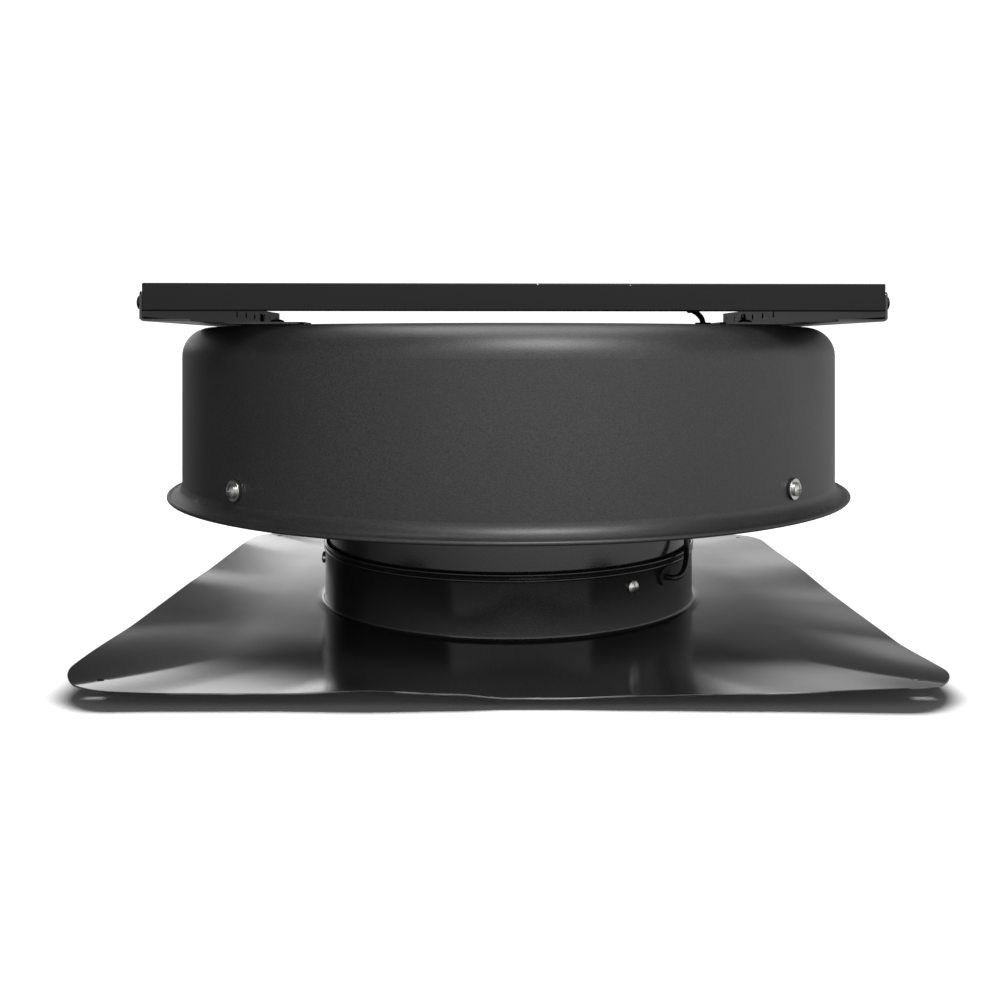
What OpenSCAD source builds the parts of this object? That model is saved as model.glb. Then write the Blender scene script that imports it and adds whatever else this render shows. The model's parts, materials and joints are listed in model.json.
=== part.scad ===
// Solar attic fan: a roof flashing with a collar, a ducted fan under a spun dome, and a tilting solar panel on top.
// Millimetres, +Z up, origin at the centre of the flashing's underside. The front faces -Y.
// An azimuth is counted from the front towards +X.

/* [Roof flashing] */
// Side of the square flashing
plate_w = 570; // [555:1:575]
// Thickness of the flashing and of the dome sheet
sheet_t = 1.2; // [1:0.1:1.5]
// Corner radius of the flashing
plate_corner_r = 43; // [25:1:45]
// Distance between the corner nail holes
nail_pitch = 520; // [510:1:525]
// Diameter of the nail holes
nail_d = 5; // [4:0.5:6]
// Outer radius of the collar
collar_r = 160; // [158:0.5:162]
// Height of the collar above the roof
collar_h = 54; // [50:1:58]

/* [Fan tube and screws] */
// Outer radius of the fan tube
tube_r = 156.5; // [155.5:0.5:157]
// Lower end of the fan tube
tube_z = 22; // [20:1:26]
// Upper end of the fan tube
tube_top = 150; // [146:1:154]
// Height of the neck screws
neck_screw_z = 37.5; // [35:0.5:38]
// Azimuth of the first of the three neck screws
neck_azimuth = 36; // [34:1:40]

/* [Dome] */
// Outer radius of the dome wall
dome_r = 276; // [272:1:280]
// Height of the dome's flat top
dome_top = 236; // [234:1:238]
// Radius of the shoulder between top and wall
shoulder_r = 23; // [20:1:30]
// Radius of the flare at the lip
flare_r = 10.4; // [8:0.2:12]
// Radius of the rolled lip
lip_r = 1.6; // [1.2:0.1:1.8]
// Height of the lowest point of the lip
lip_z = 98.4; // [94:0.2:102]
// Height of the dome screws and struts
dome_screw_z = 120.4; // [118:0.2:124]
// Turn of the dome and the panel on the flashing, as assembled
dome_turn = 1.5; // [0:0.5:3]

/* [Panel brackets] */
// Distance between the inner faces of the two bracket legs
bracket_span = 504; // [504:0.5:506]
// Length of a bracket
bracket_l = 480; // [478:1:500]
// Thickness of the bracket sheet
bracket_t = 1.6; // [1.5:0.1:1.8]
// Width of the bracket's flat flange
flange_w = 34; // [30:1:36]
// Height of the bracket leg
leg_h = 20.4; // [19.6:0.2:20.6]
// Distance from the front end of a bracket to the pivot
pivot_inset = 8; // [7.8:0.1:9]
// Distance from the pivot to the first stay hole
stay_hole_first = 266; // [262:1:270]
// Distance between the stay holes
stay_hole_pitch = 38; // [36:1:38]
// Number of stay holes
stay_hole_count = 6; // [5:1:6]

/* [Solar panel] */
// Width of the panel
panel_w = 502.4; // [500:0.2:502.4]
// Length of the panel
panel_l = 500; // [490:1:504]
// Height of the panel frame
panel_h = 19; // [19:0.5:21]
// Tilt of the panel at rest
panel_tilt = 2.6; // [2.4:0.1:2.8]
// Solar cells across the panel
cell_cols = 4; // [3:1:6]
// Solar cells along the panel
cell_rows = 9; // [8:1:12]

/* [Fan] */
// Number of blades
blade_count = 5; // [4:1:6]
// Radius at the blade tips
blade_r = 149; // [145:1:150]
// Pitch of the blades
blade_pitch = 26; // [20:1:28]
// Outer radius of the motor housing
motor_r = 43; // [42:0.5:44]
// Radius of the motor shaft
shaft_r = 4; // [4:0.5:5]

/* [Hidden] */
$fn = 64;

// Finishes
coat = "#1c1c1d";
zinc = "#c8c8c4";
steel = "#9a9b9c";
rubber = "#141414";
plastic = "#202124";
copper = "#b0693a";

// Fastener sizes: shank radius, head radius and head height
m4 = [2, 4.4, 2.6];
m5 = [2.4, 4.9, 3.2];
m6 = [3, 5.3, 2.6];
run_gap = 0.06;
body_gap = 0.3;

// Collar, tube and neck screws
tube_in = tube_r - sheet_t;
bracket_tab_t = 3;
neck_azimuths = [neck_azimuth, neck_azimuth + 120, neck_azimuth - 120];
rim_r = 1.3;
bead_drop = 5.6;
foot_fillet_r = 3;
tube_rim_r = 1.4;
cable_r = 2.3;
cable_hole_r = 4.6;
cable_azimuth = 49.5;
cable_z = 40;

// Motor stack, from the arms of the motor bracket upwards
arm_z = 40;
arm_t = 3;
arm_w = 25;
isolator_h = 3;
motor_z = arm_z + arm_t + isolator_h;
can_h = 40;
can_t = 1.6;
bearing_r = 11;
bearing_h = 7;
bearing_low = motor_z + 4;
bearing_high = motor_z + can_h - 2;
stator_z = motor_z + 14;
stator_h = 18;
stator_in = 26;
coil_count = 12;
tooth_w = 6;
magnet_r = 25;
magnet_count = 8;
magnet_t = 3;
back_iron_t = 4.4;
lead_z = 60;
isolator_at = 30;
isolator_r = 7;
isolator_hole_r = 4;
shaft_top = 128;

// Fan wheel
fan_z = 116;
camber_r = 200;
blade_t = 1.5;
hub_r = 14;
rivet_at = [48, 62];

// Dome
dome_in = dome_r - sheet_t;
flare_top = lip_z + 2 * lip_r + flare_r - (2 * lip_r - sheet_t) / 2;
strut_w = 20;
strut_t = 2.5;
strut_drop = 9;
strut_azimuths = [45, 135, 225, 315];
washer_t = 1.2;
washer_r = 7.5;
seal_t = 0.8;
seal_seat = dome_r + 0.1;
nut_t = 3.2;
cable_exit_r = 7;

// Panel brackets; x is counted from the middle of the panel
leg_in = bracket_span / 2;
leg_out = leg_in + bracket_t;
pad_t = 1.6;
flange_z = dome_top + pad_t;
bracket_y = -218;
pivot_y = bracket_y + pivot_inset;
pivot_z = flange_z + 12.9;
foot_x = 181.5;
foot_y = 115;
foot_w = 40;
foot_end = 158;
pad_end = 205;
bend_r = 1.6;

// Panel; local y runs back from the pivot and local z up from it
rail_drop = 5.7;
panel_front = 9.8;
wall_t = 1.6;
lip_w = 7;
rail_foot_w = 14;
shelf_z = panel_h - 5.6;
shelf_t = 1;
sheet_back_t = 0.5;
cell_t = 0.3;
glass_t = 2.5;
glass_gap = 0.4;
cleat_l = 26;
cleat_z = 10;
cell_margin = 12;
cell_gap = 2.5;
box_size = [95, 60, 12];
box_at = [60, 385];
lid_t = 1.8;
gland_x = 90;
gland_l = 14;

// Stays: an equal-sided linkage, so a stay swings twice as far as the panel tilts
stay_rest_angle = panel_tilt + 1;
stay_hole_rest = stay_hole_first + 3 * stay_hole_pitch;
stay_l = stay_hole_rest / (2 * cos(stay_rest_angle));
stay_w = 14;
stay_t = 2;
stay_x = leg_out + 0.4;
stay_top_y = stay_l * cos(stay_rest_angle - panel_tilt);
stay_top_z = stay_l * sin(stay_rest_angle - panel_tilt);

// Centre line of the panel cable, from the junction box to the grommet in the dome
panel_route = [
    [85.5, 172, 269.4], [86.3, 142, 268.1], [87, 115, 268.8], [88, 85, 269.2], [89.6, 40, 267.4],
    [90.8, 0, 265.6], [92, -50, 263.4], [93.1, -95, 261.2], [96, -130, 258.2], [104, -154, 255],
    [120, -165, 252], [132, -154, 250], [138, -130, 248.5], [142, -104, 249], [146, -90, 249.6],
    [150.5, -77, 249.2], [155.2, -68, 247.4], [159.3, -62.5, 243.9], [161, -60, 239.5], [161, -60, 234.5]
];
// Centre line of the motor cable, from the dome grommet down to the collar and in to the motor
motor_route = [
    [161, -60, 234.5], [161, -60, 222], [159, -65, 200], [154, -71, 175], [150, -74, 150], [147, -78, 125],
    [145, -79, 100], [144.4, -79, 82], [143.9, -80.5, 68], [143.4, -84, 57], [141.6, -92, 49.5],
    [138.5, -100.5, 44.3], [134.4, -107, 41.3], [129.8, -109.6, 40.1], [125.6, -107.3, 40], [121.7, -104, 40],
    [114, -97.4, 40], [102, -87, 42], [90, -77, 47], [76, -65, 54],
    [62, -53, 58], [48, -41, 60], [33.5, -28.6, 60]
];

// Places children along the given azimuth, with +X pointing outwards
module at_azimuth(a) {
    rotate([0, 0, a - 90]) children();
}

// Frame of the dome and of everything bolted to it
module on_dome() {
    rotate([0, 0, dome_turn]) children();
}

// Frame of the panel: origin on the tilt axis, y back along the panel, z up through it
module on_panel() {
    on_dome() translate([0, pivot_y, pivot_z]) rotate([panel_tilt, 0, 0]) children();
}

// Round bar along the local X axis
module bar_x(r, from, to) {
    translate([from, 0, 0]) rotate([0, 90, 0]) cylinder(h = to - from, r = r);
}

// Hexagon along the local X axis, given across flats
module hex_x(flats, from, to) {
    translate([from, 0, 0]) rotate([0, 90, 0]) cylinder(h = to - from, r = flats / sqrt(3), $fn = 6);
}

// Flat ring along the local X axis
module washer_x(r, hole_r, from, to) {
    difference() {
        bar_x(r, from, to);
        bar_x(hole_r, from - 1, to + 1);
    }
}

// Pan-head screw along the local X axis: the head sits outside x = seat, the shank runs inwards to x = tip
module screw_x(size, seat, tip) {
    recess_depth = size[2] - 1.4;
    translate([seat, 0, 0]) rotate([0, 90, 0]) difference() {
        rotate_extrude() union() {
            translate([0, tip - seat]) square([size[0], seat - tip + 0.5]);
            intersection() {
                square([size[1], size[2]]);
                translate([0, size[2] - 2 * size[1]]) circle(r = 2 * size[1]);
            }
        }
        translate([0, 0, size[2]]) union() {
            cube([1.1 * size[1], 1, 2 * recess_depth], center = true);
            cube([1, 1.1 * size[1], 2 * recess_depth], center = true);
        }
    }
}

// Ring of round section about the Z axis
module wire_ring(r, wire_r, z) {
    translate([0, 0, z]) rotate_extrude() translate([r, 0]) circle(r = wire_r, $fn = 32);
}

// Quarter of a ring in the plane, from the given angle
module quarter_ring(outer, t, angle) {
    rotate(angle) intersection() {
        difference() {
            circle(r = outer);
            circle(r = outer - t);
        }
        square(outer + 1);
    }
}

function unit(v) = v / norm(v);

// Direction of a route at each of its points
function tangents(p) = [
    for (i = [0 : len(p) - 1]) unit(p[min(i + 1, len(p) - 1)] - p[max(i - 1, 0)])
];

// Side vectors carried along a route without twist
function carried(t, n, i = 0) =
    i == len(t) ? [] : let (m = unit(n - (n * t[i]) * t[i])) concat([m], carried(t, m, i + 1));

// Round tube swept along a route, as one closed solid
module cable(route, r, sides = 10) {
    t = tangents(route);
    n = carried(t, [1, 0, 0.01]);
    last = len(route) - 1;
    points = [
        for (i = [0 : last], k = [0 : sides - 1])
            let (a = 360 * k / sides) route[i] + r * (cos(a) * n[i] + sin(a) * cross(t[i], n[i]))
    ];
    walls = [
        for (i = [0 : last - 1], k = [0 : sides - 1])
            let (j = (k + 1) % sides)
            [i * sides + k, (i + 1) * sides + k, (i + 1) * sides + j, i * sides + j]
    ];
    polyhedron(
        points = points,
        faces = concat(walls, [[for (k = [0 : sides - 1]) k]], [[for (k = [sides - 1 : -1 : 0]) last * sides + k]]),
        convexity = 10
    );
}

// Roof flashing and neck

module roof_flashing() {
    corner = plate_w / 2 - plate_corner_r;
    color(coat) difference() {
        union() {
            linear_extrude(sheet_t) union() {
                square([plate_w, 2 * corner], center = true);
                square([2 * corner, plate_w], center = true);
                for (x = [-corner, corner], y = [-corner, corner])
                    translate([x, y]) circle(r = plate_corner_r);
            }
            cylinder(h = collar_h - 1, r = collar_r, $fn = 128);
            // fillet at the foot of the collar
            rotate_extrude($fn = 128) difference() {
                translate([collar_r - 1, 0]) square([foot_fillet_r + 1, sheet_t + foot_fillet_r]);
                translate([collar_r + foot_fillet_r, sheet_t + foot_fillet_r]) circle(r = foot_fillet_r);
            }
            // rolled rim with a bead under it
            wire_ring(collar_r - 0.2, rim_r, collar_h - rim_r);
            wire_ring(collar_r - 0.4, rim_r, collar_h - bead_drop);
        }
        translate([0, 0, -1]) cylinder(h = collar_h + 2, r = collar_r - sheet_t, $fn = 128);
        for (x = [-nail_pitch / 2, nail_pitch / 2], y = [-nail_pitch / 2, nail_pitch / 2])
            translate([x, y, -1]) cylinder(h = sheet_t + 2, r = nail_d / 2);
        for (a = neck_azimuths)
            at_azimuth(a) translate([0, 0, neck_screw_z]) bar_x(m5[0] + 0.2, tube_r, collar_r + 2);
        at_azimuth(cable_azimuth) translate([0, 0, cable_z]) bar_x(cable_hole_r, tube_r, collar_r + 3);
    }
}

module fan_tube() {
    color(coat) difference() {
        union() {
            translate([0, 0, tube_z]) cylinder(h = tube_top - tube_z, r = tube_r, $fn = 128);
            wire_ring(tube_r, tube_rim_r, tube_top - tube_rim_r);
        }
        translate([0, 0, tube_z - 1]) cylinder(h = tube_top - tube_z + 2, r = tube_in, $fn = 128);
        for (a = neck_azimuths)
            at_azimuth(a) translate([0, 0, neck_screw_z]) bar_x(m5[0] + 0.2, tube_in - 2, tube_r + 1);
        at_azimuth(cable_azimuth) translate([0, 0, cable_z]) bar_x(cable_hole_r, tube_in - 2, tube_r + 1);
        on_dome() for (a = strut_azimuths)
            at_azimuth(a) translate([0, 0, dome_screw_z]) bar_x(m4[0], tube_in - 2, tube_r + 1);
    }
}

module neck_screws() {
    color(zinc) for (a = neck_azimuths)
        at_azimuth(a) translate([0, 0, neck_screw_z]) {
            screw_x(m5, collar_r + 0.2, tube_in - bracket_tab_t - 4);
        }
}

module throat_guard() {
    wire = 1.3;
    ring_z = tube_z + 4;
    color(coat) union() {
        for (r = [30, 60, 90, 120])
            wire_ring(r, wire, ring_z);
        wire_ring(tube_in - wire, wire, ring_z);
        for (k = [0 : 7])
            rotate([0, 0, 45 * k]) translate([0, 0, ring_z - 1.6 * wire]) bar_x(wire, 29, tube_in - wire);
    }
}

// Motor

module motor_bracket() {
    color(coat) difference() {
        union() {
            translate([0, 0, arm_z]) cylinder(h = arm_t, r = motor_r + 3);
            for (a = neck_azimuths)
                at_azimuth(a) {
                    intersection() {
                        translate([motor_r - 3, -arm_w / 2, arm_z])
                            cube([tube_in - motor_r + 3, arm_w, arm_t]);
                        cylinder(h = 100, r = tube_in, $fn = 128);
                    }
                    // end tab that the neck screw holds
                    translate([0, 0, neck_screw_z - 8]) intersection() {
                        difference() {
                            cylinder(h = arm_z + arm_t - neck_screw_z + 8, r = tube_in, $fn = 128);
                            translate([0, 0, -1])
                                cylinder(h = 40, r = tube_in - bracket_tab_t, $fn = 128);
                        }
                        translate([0, -arm_w / 2, 0]) cube([tube_in + 1, arm_w, 40]);
                    }
                }
        }
        translate([0, 0, arm_z - 1]) cylinder(h = arm_t + 2, r = 16);
        for (k = [0 : 3])
            rotate([0, 0, 45 + 90 * k]) translate([isolator_at, 0, arm_z - 1])
                cylinder(h = arm_t + 2, r = isolator_hole_r);
        for (a = neck_azimuths)
            at_azimuth(a) translate([0, 0, neck_screw_z]) bar_x(m5[0], tube_in - 10, tube_in + 1);
    }
}

module motor_isolators() {
    color(rubber) for (k = [0 : 3])
        rotate([0, 0, 45 + 90 * k]) translate([isolator_at, 0, 0]) difference() {
            union() {
                translate([0, 0, arm_z + arm_t]) cylinder(h = isolator_h, r = isolator_r);
                translate([0, 0, arm_z]) cylinder(h = arm_t, r = isolator_hole_r);
                translate([0, 0, arm_z - 2]) cylinder(h = 2, r = isolator_r);
            }
            translate([0, 0, arm_z - 5]) cylinder(h = 20, r = m4[0]);
        }
}

module motor_screws() {
    color(zinc) for (k = [0 : 3])
        rotate([0, 0, 45 + 90 * k]) translate([isolator_at, 0, 0]) rotate([0, 90, 0])
            screw_x(m4, 2 - arm_z, -motor_z - can_t - 2);
}

module motor_housing() {
    color(plastic) difference() {
        union() {
            translate([0, 0, motor_z]) cylinder(h = can_h, r = motor_r);
            // gland where the cable goes in
            at_azimuth(cable_azimuth) translate([0, 0, lead_z]) bar_x(5, motor_r - 1, motor_r + 6);
        }
        translate([0, 0, motor_z + can_t]) difference() {
            cylinder(h = can_h, r = motor_r - can_t);
            cylinder(h = bearing_low + bearing_h - motor_z - can_t, r = bearing_r + 3);
        }
        translate([0, 0, bearing_low]) cylinder(h = can_h, r = bearing_r);
        translate([0, 0, motor_z - 1]) cylinder(h = can_h, r = shaft_r + 2);
        for (k = [0 : 3])
            rotate([0, 0, 45 + 90 * k]) translate([isolator_at, 0, motor_z - 1]) cylinder(h = 4, r = m4[0]);
        at_azimuth(cable_azimuth) translate([0, 0, lead_z]) bar_x(cable_r + 0.1, motor_r - 5, motor_r + 7);
    }
}

module motor_end_cap() {
    cap_z = motor_z + can_h;
    color(steel) difference() {
        union() {
            translate([0, 0, cap_z]) cylinder(h = 2.4, r = motor_r);
            translate([0, 0, bearing_high]) cylinder(h = bearing_h + 1.4, r = bearing_r + 3);
            for (k = [0 : 5])
                rotate([0, 0, 60 * k]) translate([bearing_r + 1, -1, cap_z]) cube([motor_r - bearing_r - 5, 2, 4]);
        }
        translate([0, 0, bearing_high - 1]) cylinder(h = bearing_h + 1, r = bearing_r);
        translate([0, 0, cap_z]) cylinder(h = 20, r = shaft_r + 2);
    }
}

module motor_bearings() {
    color(steel) for (z = [bearing_low, bearing_high])
        translate([0, 0, z]) difference() {
            cylinder(h = bearing_h, r = bearing_r);
            translate([0, 0, -1]) cylinder(h = bearing_h + 2, r = shaft_r + run_gap);
        }
}

module motor_stator() {
    color(steel) translate([0, 0, stator_z]) difference() {
        union() {
            difference() {
                cylinder(h = stator_h, r = motor_r - can_t);
                translate([0, 0, -1]) cylinder(h = stator_h + 2, r = motor_r - can_t - back_iron_t);
            }
            for (k = [0 : coil_count - 1])
                rotate([0, 0, 360 * k / coil_count]) translate([stator_in - 2, -tooth_w / 2, 0])
                    cube([motor_r - can_t - stator_in, tooth_w, stator_h]);
        }
        translate([0, 0, -1]) cylinder(h = stator_h + 2, r = stator_in);
    }
}

module motor_windings() {
    coil_w = 10.4;
    coil_l = 8;
    end_h = 2.4;
    color(copper) for (k = [0 : coil_count - 1])
        rotate([0, 0, 360 * k / coil_count]) translate([28, 0, stator_z]) difference() {
            translate([0, -coil_w / 2, -end_h]) cube([coil_l, coil_w, stator_h + 2 * end_h]);
            translate([-1, -tooth_w / 2, 0]) cube([coil_l + 2, tooth_w, stator_h]);
        }
}

module motor_board() {
    color("#1d4a2c") translate([0, 0, stator_z + stator_h + 3]) difference() {
        cylinder(h = 1.6, r = motor_r - can_t - 1);
        translate([0, 0, -1]) cylinder(h = 4, r = bearing_r + 4);
    }
}

module motor_shaft() {
    color(steel) translate([0, 0, bearing_low - 1]) cylinder(h = shaft_top - bearing_low + 1, r = shaft_r);
}

module rotor_core() {
    color(steel) translate([0, 0, stator_z]) difference() {
        cylinder(h = stator_h, r = magnet_r - magnet_t);
        translate([0, 0, -1]) cylinder(h = stator_h + 2, r = shaft_r);
    }
}

module rotor_magnets() {
    color("#55565a") for (k = [0 : magnet_count - 1])
        rotate([0, 0, 360 * k / magnet_count]) translate([0, 0, stator_z]) intersection() {
            difference() {
                cylinder(h = stator_h, r = magnet_r);
                translate([0, 0, -1]) cylinder(h = stator_h + 2, r = magnet_r - magnet_t);
            }
            translate([0, -8, 0]) cube([magnet_r + 1, 16, stator_h]);
        }
}

module thermal_switch() {
    color(plastic) at_azimuth(neck_azimuths[1]) translate([100, 0, arm_z + arm_t]) union() {
        translate([-14, -7, 0]) cube([28, 14, 1.2]);
        cylinder(h = 7, r = 7);
        cylinder(h = 9.5, r = 4.5);
    }
}

// Fan wheel

// Frame of one blade: +X outwards, tilted by the blade pitch
module on_blade(k) {
    rotate([0, 0, 360 * k / blade_count]) translate([0, 0, fan_z]) rotate([blade_pitch, 0, 0]) children();
}

// Cambered sheet in the blade frame, cut to an outline; layer 0 is the hub arm, layer 1 the blade on top of it
module cambered(outline, layer) {
    intersection() {
        translate([0, 0, -20]) linear_extrude(60) polygon(outline);
        translate([0, 0, -camber_r]) difference() {
            rotate([0, 90, 0]) cylinder(h = 200, r = camber_r + blade_t * (layer + 1), $fn = 256);
            translate([-1, 0, 0]) rotate([0, 90, 0])
                cylinder(h = 202, r = camber_r + blade_t * layer, $fn = 256);
        }
    }
}

module rivet_holes() {
    for (x = rivet_at)
        translate([x, 0, -5]) cylinder(h = 15, r = m4[0]);
}

module fan_hub() {
    arm = [[2, -11], [68, -13], [72, -8], [72, 8], [68, 13], [2, 11]];
    color("#a9abad") difference() {
        union() {
            translate([0, 0, fan_z - 14]) cylinder(h = 26, r = hub_r);
            for (k = [0 : blade_count - 1])
                on_blade(k) cambered(arm, 0);
        }
        translate([0, 0, fan_z - 20]) cylinder(h = 40, r = shaft_r);
        for (k = [0 : blade_count - 1])
            on_blade(k) rivet_holes();
        translate([0, 0, fan_z + 8]) bar_x(2, 0, hub_r + 1);
    }
}

module fan_blades() {
    outline = [
        [36, -13], [48, -19], [72, -31], [100, -42], [128, -49], [156, -52],
        [160, 46], [128, 43], [100, 37], [72, 28], [48, 18], [36, 12]
    ];
    color("#b4b6b8") for (k = [0 : blade_count - 1])
        intersection() {
            on_blade(k) difference() {
                cambered(outline, 1);
                rivet_holes();
            }
            cylinder(h = 200, r = blade_r, $fn = 128);
        }
}

module blade_rivets() {
    color(steel) for (k = [0 : blade_count - 1])
        on_blade(k) for (x = rivet_at)
            translate([x, 0, 0]) union() {
                translate([0, 0, -0.8]) cylinder(h = 4.6, r = m4[0]);
                translate([0, 0, 3]) cylinder(h = 1, r = 4);
                translate([0, 0, -1]) cylinder(h = 0.98, r = 3.4);
            }
}

module hub_screw() {
    color(steel) translate([0, 0, fan_z + 8]) difference() {
        bar_x(2, shaft_r, hub_r - 1);
        hex_x(2, hub_r - 3, hub_r);
    }
}

// Dome

module dome() {
    flat_r = dome_r - shoulder_r;
    color(coat) difference() {
        rotate_extrude($fn = 180) union() {
            translate([0, dome_top - sheet_t]) square([flat_r, sheet_t]);
            translate([flat_r, dome_top - shoulder_r]) quarter_ring(shoulder_r, sheet_t, 0);
            translate([dome_in, flare_top]) square([sheet_t, dome_top - shoulder_r - flare_top]);
            translate([dome_r + flare_r, flare_top]) quarter_ring(flare_r + sheet_t, sheet_t, 180);
            translate([dome_r + flare_r, lip_z + lip_r]) circle(r = lip_r, $fn = 32);
        }
        on_dome() {
            for (a = strut_azimuths)
                at_azimuth(a) translate([0, 0, dome_screw_z]) bar_x(m5[0], dome_in - 5, dome_r + 5);
            for (x = [-foot_x, foot_x], y = [-foot_y, foot_y])
                translate([x, y, dome_top - 5]) cylinder(h = 10, r = m6[0]);
        }
        translate([panel_route[len(panel_route) - 1][0], panel_route[len(panel_route) - 1][1], dome_top - 5])
            cylinder(h = 10, r = cable_exit_r);
    }
}

// One strut: a flat bar with an upturned tab against the tube and one against the dome wall
module strut() {
    bar_z = dome_screw_z - strut_drop;
    intersection() {
        difference() {
            translate([0, 0, bar_z]) cylinder(h = strut_drop + 9, r = dome_in, $fn = 180);
            translate([0, 0, bar_z - 1]) cylinder(h = strut_drop + 11, r = tube_r, $fn = 128);
            translate([0, 0, bar_z + strut_t]) difference() {
                cylinder(h = 40, r = dome_in - strut_t, $fn = 180);
                translate([0, 0, -1]) cylinder(h = 42, r = tube_r + strut_t, $fn = 128);
            }
        }
        translate([0, -strut_w / 2, bar_z - 5]) cube([dome_r, strut_w, 60]);
    }
}

module dome_struts() {
    color(coat) on_dome() for (a = strut_azimuths)
        at_azimuth(a) difference() {
            strut();
            translate([0, 0, dome_screw_z]) bar_x(m4[0], tube_r - 5, tube_r + 9);
            translate([0, 0, dome_screw_z]) bar_x(m5[0], dome_in - 9, dome_in + 9);
        }
}

module strut_rivets() {
    color(steel) on_dome() for (a = strut_azimuths)
        at_azimuth(a) translate([0, 0, dome_screw_z]) {
            bar_x(m4[0], tube_in - 1.4, tube_r + strut_t + 1.2);
            bar_x(4, tube_r + strut_t + 0.05, tube_r + strut_t + 1.2);
            bar_x(3.2, tube_in - 1.4, tube_in - 0.1);
        }
}

module dome_screws() {
    color(zinc) on_dome() for (a = strut_azimuths)
        at_azimuth(a) translate([0, 0, dome_screw_z])
            screw_x(m5, seal_seat + seal_t + washer_t, dome_in - strut_t - nut_t - 3);
}

module dome_washers() {
    color(zinc) on_dome() for (a = strut_azimuths)
        at_azimuth(a) translate([0, 0, dome_screw_z])
            washer_x(washer_r, m5[0], seal_seat + seal_t, seal_seat + seal_t + washer_t);
}

module dome_seals() {
    color(rubber) on_dome() for (a = strut_azimuths)
        at_azimuth(a) translate([0, 0, dome_screw_z])
            washer_x(washer_r + 0.3, m5[0], seal_seat, seal_seat + seal_t);
}

module dome_nuts() {
    color(zinc) on_dome() for (a = strut_azimuths)
        at_azimuth(a) translate([0, 0, dome_screw_z]) difference() {
            hex_x(8, dome_in - strut_t - nut_t - 0.2, dome_in - strut_t - 0.2);
            bar_x(m5[0], dome_in - 20, dome_in);
        }
}

module pest_screen() {
    screen_r = tube_r + 3.4;
    screen_t = 1;
    low = tube_top - 6;
    high = dome_top - sheet_t - 1.2;
    bar = 2.4;
    columns = 24;
    rows = 3;
    row_h = (high - low - bar) / rows;
    column_w = 2 * PI * screen_r / columns;
    color(steel) difference() {
        translate([0, 0, low]) cylinder(h = high - low, r = screen_r, $fn = 128);
        translate([0, 0, low - 1]) cylinder(h = high - low + 2, r = screen_r - screen_t, $fn = 128);
        for (k = [0 : columns - 1], j = [0 : rows - 1])
            rotate([0, 0, 360 * k / columns])
                translate([screen_r - 5, (bar - column_w) / 2, low + bar + j * row_h])
                    cube([10, column_w - bar, row_h - bar]);
    }
}

// Panel brackets

// Right-hand bracket: upright leg outside, flat flange inside, two feet reaching inwards over the dome
module bracket() {
    leg_top = flange_z + leg_h;
    difference() {
        union() {
            translate([leg_in, bracket_y, flange_z + bend_r])
                cube([bracket_t, bracket_l, leg_h - bend_r]);
            translate([leg_out - flange_w, bracket_y, flange_z])
                cube([flange_w - bracket_t - bend_r, bracket_l, bracket_t]);
            // bend between flange and leg
            translate([leg_in - bend_r, bracket_y, flange_z + bracket_t + bend_r]) rotate([-90, 0, 0])
                linear_extrude(bracket_l) quarter_ring(bracket_t + bend_r, bracket_t, 0);
            for (y = [-foot_y, foot_y])
                translate([foot_end + 4, y - foot_w / 2, flange_z])
                    cube([leg_out - flange_w - foot_end, foot_w, bracket_t]);
            for (y = [-foot_y, foot_y])
                translate([foot_end, y - foot_w / 2 + 4, flange_z]) cube([5, foot_w - 8, bracket_t]);
            for (y = [-foot_y, foot_y], side = [-1, 1])
                translate([foot_end + 4, y + side * (foot_w / 2 - 4), flange_z]) cylinder(h = bracket_t, r = 4);
        }
        for (y = [-foot_y, foot_y])
            translate([foot_x, y, flange_z - 1]) cylinder(h = 4, r = m6[0]);
        translate([0, pivot_y, pivot_z]) bar_x(m4[0] + run_gap, leg_in - 5, leg_out + 5);
        for (k = [0 : stay_hole_count - 1])
            translate([0, pivot_y + stay_hole_first + k * stay_hole_pitch, pivot_z])
                bar_x(3, leg_in - 5, leg_out + 5);
        // rounded upper front corner of the leg
        translate([leg_in - 1, bracket_y - 1, leg_top - 3]) difference() {
            cube([bracket_t + 2, 4, 4]);
            translate([-1, 4, 0]) bar_x(3, 0, bracket_t + 4);
        }
    }
}

module bracket_right() {
    color(coat) on_dome() bracket();
}

module bracket_left() {
    color(coat) on_dome() mirror([1, 0, 0]) bracket();
}

module foot_pads() {
    color(rubber) on_dome() for (side = [0, 1], y = [-foot_y, foot_y])
        mirror([side, 0, 0]) difference() {
            translate([foot_end, y - foot_w / 2, dome_top]) cube([pad_end - foot_end, foot_w, pad_t]);
            translate([foot_x, y, dome_top - 1]) cylinder(h = 5, r = m6[0]);
        }
}

module foot_bolts() {
    color(zinc) on_dome() for (x = [-foot_x, foot_x], y = [-foot_y, foot_y])
        translate([x, y, 0]) rotate([0, -90, 0]) screw_x(m6, flange_z + bracket_t, dome_top - 10);
}

module foot_washers() {
    color(zinc) on_dome() for (x = [-foot_x, foot_x], y = [-foot_y, foot_y])
        translate([x, y, 0]) rotate([0, -90, 0])
            washer_x(washer_r, m6[0], dome_top - sheet_t - washer_t, dome_top - sheet_t);
}

module foot_nuts() {
    top = dome_top - sheet_t - washer_t;
    color(zinc) on_dome() for (x = [-foot_x, foot_x], y = [-foot_y, foot_y])
        translate([x, y, 0]) rotate([0, -90, 0]) difference() {
            hex_x(10, top - 4.8, top);
            bar_x(m6[0], top - 9, top + 5);
        }
}

// Pivot bolts stay with the brackets; the panel turns on them
module pivot_bolts() {
    color(zinc) on_dome() for (side = [0, 1])
        mirror([side, 0, 0]) translate([0, pivot_y, pivot_z])
            screw_x([m4[0], 4.5, 4], leg_out, panel_w / 2 - wall_t - 5);
}

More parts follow.
